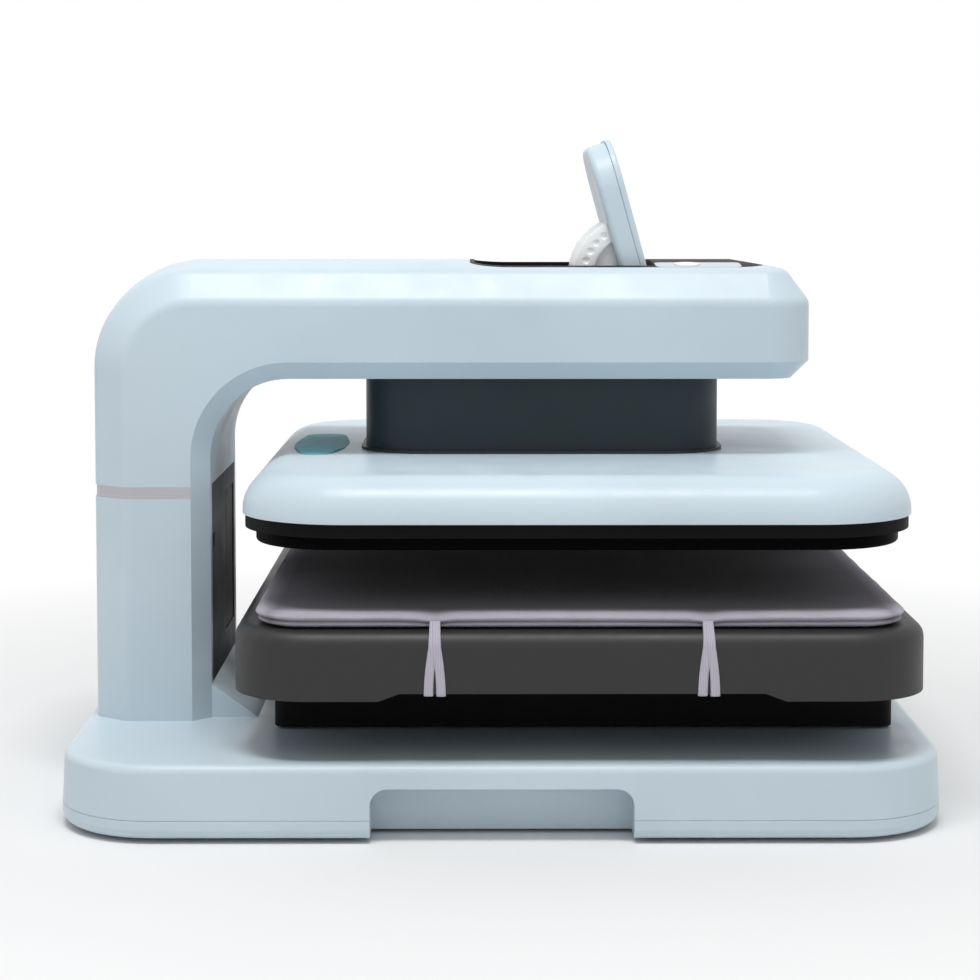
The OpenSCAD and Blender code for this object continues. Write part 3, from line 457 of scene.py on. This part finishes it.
def new_object(name, bm, material, smooth=True):
    """An object in the scene made from a finished bmesh, which is freed."""
    mesh = bpy.data.meshes.new(name)
    bm.to_mesh(mesh)
    bm.free()
    for face in mesh.polygons:
        face.use_smooth = smooth
    mesh.materials.append(material)
    made = bpy.data.objects.new(name, mesh)
    bpy.context.scene.collection.objects.link(made)
    return made


# Soft pad


# Bands to either side of their middle
STRAP_X = 78.5 * MM
# Share and reach of the bands' pull along the pad's edge: a dent in a wide hollow
PULLS = ((0.75, 7 * MM), (0.25, 22 * MM))
# How far a full pull takes the edge down, as a share of how far it takes it in
PULL_DROP = 0.9

PAD_CORNER = 30 * MM
PAD_COUNT = 560
# Rings drawn in further than this shrink towards the middle
PAD_FOLLOW = 0.9 * PAD_CORNER
PAD_TOP_CLEAR = 0.05 * MM

# Ripples: waves per metre and layer of the noise
BROAD = (13, 3.1)
CLOSE = (42, 7.7)
BROAD_LIFT = 0.22 * MM
CLOSE_LIFT = 0.28 * MM
CLOSE_SWELL = 0.3 * MM
# Close ripples stay this near the edge, and all of them fade out below this height
RIM_REACH = 12 * MM
STILL_HEIGHT = 4 * MM

# Profile from the underside to the middle of the top, with the seam between its two rolls:
# drawn in and height, in millimetres, and how much the bands pull there
PAD_PROFILE = [
    (60, 0.0, 0.0), (20, 0.0, 0.0), (11, 0.0, 0.0), (8, 0.3, 0.1), (6, 0.8, 0.4),
    (4.4, 1.3, 0.7), (3.2, 1.8, 1.0), (2.4, 2.3, 1.2), (1.9, 2.8, 1.4), (1.8, 3.3, 1.5),
    (2.1, 3.75, 1.5), (2.8, 4.15, 1.5), (3.8, 4.5, 1.5), (4.2, 4.75, 1.5), (3.4, 5.0, 1.6),
    (2.1, 5.3, 1.7), (1.1, 5.7, 1.8), (0.5, 6.2, 2.0), (0.2, 6.8, 2.0), (0.35, 7.4, 2.0),
    (0.8, 8.0, 2.0), (1.5, 8.7, 1.9), (2.5, 9.3, 1.8), (3.8, 9.8, 1.6), (5.8, 10.1, 1.3),
    (9, 10.3, 0.9), (14, 10.42, 0.5), (21, 10.5, 0.2), (30, 10.55, 0.05), (42, 10.6, 0.0),
    (58, 10.64, 0.0), (78, 10.68, 0.0), (102, 10.7, 0.0), (130, 10.72, 0.0),
    (160, 10.73, 0.0), (184, 10.74, 0.0),
]


def square_ring(half, radius, count):
    """Points round a square with round corners.

    Each has its outward normal, its side from 0 to 3 and, on a straight part,
    its place along that side.
    """
    straight = 2 * (half - radius)
    arc = math.pi / 2 * radius
    total = 4 * (straight + arc)
    ring = []
    for i in range(count):
        run = (i + 0.5) / count * total
        side, rest = divmod(run, straight + arc)
        if rest < straight:
            spot = Vector((rest - straight / 2, -half, 0))
            out = Vector((0, -1, 0))
            along = spot.x
        else:
            angle = (rest - straight) / radius
            out = Vector((math.sin(angle), -math.cos(angle), 0))
            spot = Vector((straight / 2, -straight / 2, 0)) + out * radius
            along = None
        spin = Euler((0, 0, side * math.pi / 2)).to_matrix()
        ring.append((spin @ spot, spin @ out, int(side), along))
    return ring


def band_pull(side, along):
    """How hard the bands pull on the pad's edge there, from 0 to 1."""
    if side % 2 or along is None:
        return 0.0
    along = along - band_mid + pad_mid.x if side == 0 else along + band_mid - pad_mid.x
    off = abs(abs(along) - STRAP_X)
    return sum(share * math.exp(-((off / reach) ** 2)) for share, reach in PULLS)


def ripple(spot, per_metre, layer):
    """Smooth waves over the pad, from about -1 to 1."""
    return noise.noise(Vector((spot.x * per_metre, spot.y * per_metre, layer)))


def pad_ring(edge, inset, height, pulled):
    """Points of one ring of the pad's profile, over the middle of its underside."""
    rim = math.exp(-((inset / RIM_REACH) ** 2))
    lively = min(1.0, height / STILL_HEIGHT)
    ring = []
    for spot, out, side, along in edge:
        pull = band_pull(side, along) * pulled * MM
        if inset < PAD_FOLLOW:
            flat = spot - out * (inset + pull)
        else:
            flat = (spot - out * PAD_FOLLOW) * (pad_half - inset) / (pad_half - PAD_FOLLOW)
        broad = ripple(flat, *BROAD)
        close = ripple(flat, *CLOSE)
        lift = BROAD_LIFT * broad + CLOSE_LIFT * rim * close - PULL_DROP * pull
        place = Vector((flat.x, flat.y, height + lively * lift))
        ring.append(place + out * rim * lively * CLOSE_SWELL * close)
    return ring


def build_pad():
    """The pad as a sculpted closed cushion with a seam and a lip round its edge."""
    edge = square_ring(pad_half, PAD_CORNER, PAD_COUNT)
    top = pad_high.z - pad_low.z - PAD_TOP_CLEAR
    foot = Vector((pad_mid.x, pad_mid.y, pad_low.z))
    bm = bmesh.new()
    rings = []
    for inset, height, pulled in PAD_PROFILE:
        ring = []
        for spot in pad_ring(edge, inset * MM, height * MM, pulled):
            spot.z = min(spot.z, top)
            ring.append(bm.verts.new(spot + foot))
        rings.append(ring)
    for low, high in zip(rings, rings[1:]):
        for i in range(PAD_COUNT):
            k = (i + 1) % PAD_COUNT
            bm.faces.new((low[i], low[k], high[k], high[i]))
    bm.faces.new(list(reversed(rings[0])))
    bm.faces.new(rings[-1])
    piece = new_object("pad_cushion", bm, pad_cloth("pad_knit"))
    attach(piece, "tray_drawer")
    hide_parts("pad")


build_pad()


# Elastic bands


BAND_W = 5.5 * MM
BAND_T = 0.9 * MM
# A band is narrower by this share where it leaves the pad
BAND_TAPER = 0.12
# Section of a band: shares of its thickness and of half its width
BAND_SECTION = ((0.0, -1), (0.75, -1), (1.0, -0.6), (1.0, 0.6), (0.75, 1), (0.0, 1))

# One leg lies over the other: side, and how far it clears the tray
LEGS = ((-1, 0.06 * MM), (1, 0.24 * MM))
# How far a leg is off the band's middle: in the seam, at the tray's rounded edge, at the foot
OFF_SEAM = 0.6
OFF_EDGE = 1.1
OFF_FOOT = 3.6
# The legs part faster near the top
OFF_EASE = 1.7

# A leg comes straight out of the seam down to the tray's rounding, and tucks in at the foot
TRAY_FILLET = 9 * MM
SEAM_LEAD = 7.2 * MM
FOOT_RISE = 4.6 * MM
FOOT_BEND = 0.6 * MM
FOOT_TUCK = 4.2 * MM

EDGE_STEPS = 14
LEG_STEPS = 16
FOOT_STEPS = 6


def ribbon(bm, path):
    """A flat band along a path of (point, outward normal, sideways) triples."""
    rows = []
    for i, (spot, out, across) in enumerate(path):
        half = BAND_W * (1 - BAND_TAPER * (1 - i / (len(path) - 1))) / 2
        rows.append([
            bm.verts.new(spot + across * half * side + out * BAND_T * lift)
            for lift, side in BAND_SECTION
        ])
    count = len(BAND_SECTION)
    for a, b in zip(rows, rows[1:]):
        for i in range(count):
            k = (i + 1) % count
            bm.faces.new((a[i], b[i], b[k], a[k]))
    bm.faces.new(rows[0])
    bm.faces.new(list(reversed(rows[-1])))


def leg_path(clear):
    """A leg on the near edge, at x = 0.

    Each point has its outward normal and how many millimetres off the
    band's middle it goes.
    """
    edge_y = tray_low.y
    top_z = tray_high.z
    bend_z = top_z - TRAY_FILLET
    foot_z = tray_low.z + FOOT_RISE
    path = []
    half = EDGE_STEPS / 2
    for i in range(EDGE_STEPS + 1):
        angle = math.radians(max(45, 90 * i / EDGE_STEPS))
        out = Vector((0, -math.sin(angle), math.cos(angle)))
        spot = Vector((0, edge_y + TRAY_FILLET, bend_z)) + out * (TRAY_FILLET + clear)
        spot += Vector((0, 1, 1)) * max(0, half - i) / half * SEAM_LEAD
        path.append((spot, out, OFF_SEAM + (OFF_EDGE - OFF_SEAM) * i / EDGE_STEPS))
    for i in range(1, LEG_STEPS + 1):
        t = i / LEG_STEPS
        spot = Vector((0, edge_y - clear, bend_z + (foot_z - bend_z) * t))
        off = OFF_EDGE + (OFF_FOOT - OFF_EDGE) * (1 - (1 - t) ** OFF_EASE)
        path.append((spot, Vector((0, -1, 0)), off))
    for i in range(1, FOOT_STEPS + 1):
        angle = math.radians(90 * i / FOOT_STEPS)
        out = Vector((0, -math.cos(angle), -math.sin(angle)))
        spot = Vector((0, edge_y + FOOT_BEND, foot_z)) + out * (FOOT_BEND + clear)
        path.append((spot, out, OFF_FOOT))
    end = Vector((0, edge_y + FOOT_TUCK, foot_z - clear))
    path.append((end, Vector((0, 0, -1)), OFF_FOOT))
    return path


def placed_leg(path, middle, leg, mirror):
    """A leg's path at its place, for one side of a band on the near or the far edge."""
    placed = []
    for k, (spot, out, off) in enumerate(path):
        across = Vector((1, 0, 0))
        if EDGE_STEPS < k <= EDGE_STEPS + LEG_STEPS:
            before, after = path[k - 1], path[k + 1]
            tilt = (after[2] - before[2]) * MM
            run = (after[0] - before[0]).length
            across = Vector((run, 0, leg * tilt)).normalized()
        x = middle + leg * off * MM
        placed.append((
            Vector((x, spot.y * mirror, spot.z)),
            Vector((out.x, out.y * mirror, out.z)),
            across,
        ))
    return placed


def build_bands():
    """Each band comes out of the pad's seam, goes over the tray's edge and parts into legs."""
    bm = bmesh.new()
    for mirror in (1, -1):
        for place in (-STRAP_X, STRAP_X):
            for leg, clear in LEGS:
                ribbon(bm, placed_leg(leg_path(clear), band_mid + place, leg, mirror))
    bmesh.ops.recalc_face_normals(bm, faces=bm.faces)
    piece = new_object("elastic_bands", bm, elastic("band_elastic"))
    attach(piece, "tray_drawer")
    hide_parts("straps")


build_bands()


# Studio


# Strength of the room's light from in front, from behind and, added to it, from above
ROOM_FRONT = 0.46
ROOM_BACK = 0.5
ROOM_ABOVE = 0.3
# Where it changes, from -1 in front to 1 behind
ROOM_TURN = (-0.2, 0.5)

FLOOR_RADIUS = 14.0
FLOOR_SEGMENTS = 96
# Distance from the origin over which the floor fades to plain white
FLOOR_FADE = (0.42, 0.85)

KEY_PLACE = (-0.1, -0.78, 2.3)
KEY_TARGET = (0.0, 0.0, 0.15)
KEY_SIZE = (1.1, 0.4)
KEY_POWER = 31.0


def area_light(name, place, target, size, power):
    """A rectangular light turned towards a point."""
    data = bpy.data.lights.new(name, "AREA")
    data.shape = "RECTANGLE"
    data.size, data.size_y = size
    data.energy = power
    lamp = bpy.data.objects.new(name, data)
    lamp.location = place
    lamp.rotation_euler = (Vector(target) - Vector(place)).to_track_quat("-Z", "Y").to_euler()
    bpy.context.scene.collection.objects.link(lamp)


def build_world():
    """White to see, directly or in a reflection.

    As light, a soft room that is brighter above and a little brighter behind.
    """
    world = bpy.data.worlds.new("studio")
    bpy.context.scene.world = world
    world.use_nodes = True
    tree = world.node_tree
    tree.nodes.clear()
    way = add_node(tree, "ShaderNodeTexCoord").outputs["Generated"]
    axes = add_node(tree, "ShaderNodeSeparateXYZ", {0: way}).outputs
    start, end = ROOM_TURN
    around = add_node(
        tree,
        "ShaderNodeMapRange",
        {
            "Value": axes["Y"],
            "From Min": start,
            "From Max": end,
            "To Min": ROOM_FRONT,
            "To Max": ROOM_BACK,
        },
    )
    above = add_node(
        tree, "ShaderNodeMapRange", {"Value": axes["Z"], "To Min": 0.0, "To Max": ROOM_ABOVE}
    )
    level = add_math(tree, "ADD", around.outputs["Result"], above.outputs["Result"])
    room = add_node(tree, "ShaderNodeBackground", {"Color": ROOM_WHITE, "Strength": level})
    white = add_node(tree, "ShaderNodeBackground", {"Color": WHITE, "Strength": 1.0})
    mix = add_node(
        tree,
        "ShaderNodeMixShader",
        {0: sees_backdrop(tree), 1: room.outputs[0], 2: white.outputs[0]},
    )
    add_node(tree, "ShaderNodeOutputWorld", {"Surface": mix.outputs[0]})


def floor_pale(name):
    """Matt pale floor that turns to plain white further out, for the rays that see it."""
    s = Shader(name, srgb(230, 230, 230), 0.9)
    s.tint(s.noise(scale=1.2), srgb(228, 228, 228), srgb(232, 232, 232))
    far = s.node("ShaderNodeVectorMath", {0: s.coords}, operation="LENGTH").outputs["Value"]
    fade = s.spread(far, 0.0, 1.0, span=FLOOR_FADE)
    seen = s.math("MULTIPLY", fade, sees_backdrop(s.tree))
    glow = s.node("ShaderNodeEmission", {"Color": WHITE, "Strength": 1.0})
    blend = s.node("ShaderNodeMixShader", {0: seen, 1: s.bsdf.outputs[0], 2: glow.outputs[0]})
    s.tree.links.new(blend.outputs[0], s.tree.nodes["Material Output"].inputs["Surface"])
    return s.material


def build_floor():
    """Pale floor, large enough to reach past the frame in every view."""
    bm = bmesh.new()
    bmesh.ops.create_circle(bm, cap_ends=True, segments=FLOOR_SEGMENTS, radius=FLOOR_RADIUS)
    floor = new_object("floor", bm, floor_pale("floor_pale"), smooth=False)


build_world()
build_floor()
area_light("key", KEY_PLACE, KEY_TARGET, KEY_SIZE, KEY_POWER)


# Camera


EYE = (-0.0118, -1.4853, 0.3628)
# Degrees below the level and to the right of straight ahead
LOOK_DOWN = 3.564
LOOK_RIGHT = 0.218

camera = bpy.data.cameras.new("photo_camera")
camera.sensor_width = 36.0
camera.lens = 83.6
camera.shift_y = -0.14
eye = bpy.data.objects.new("photo_camera", camera)
eye.location = EYE
eye.rotation_euler = (math.radians(90 - LOOK_DOWN), 0.0, math.radians(-LOOK_RIGHT))
bpy.context.scene.collection.objects.link(eye)
bpy.context.scene.camera = eye
bpy.context.scene.view_settings.view_transform = "Standard"
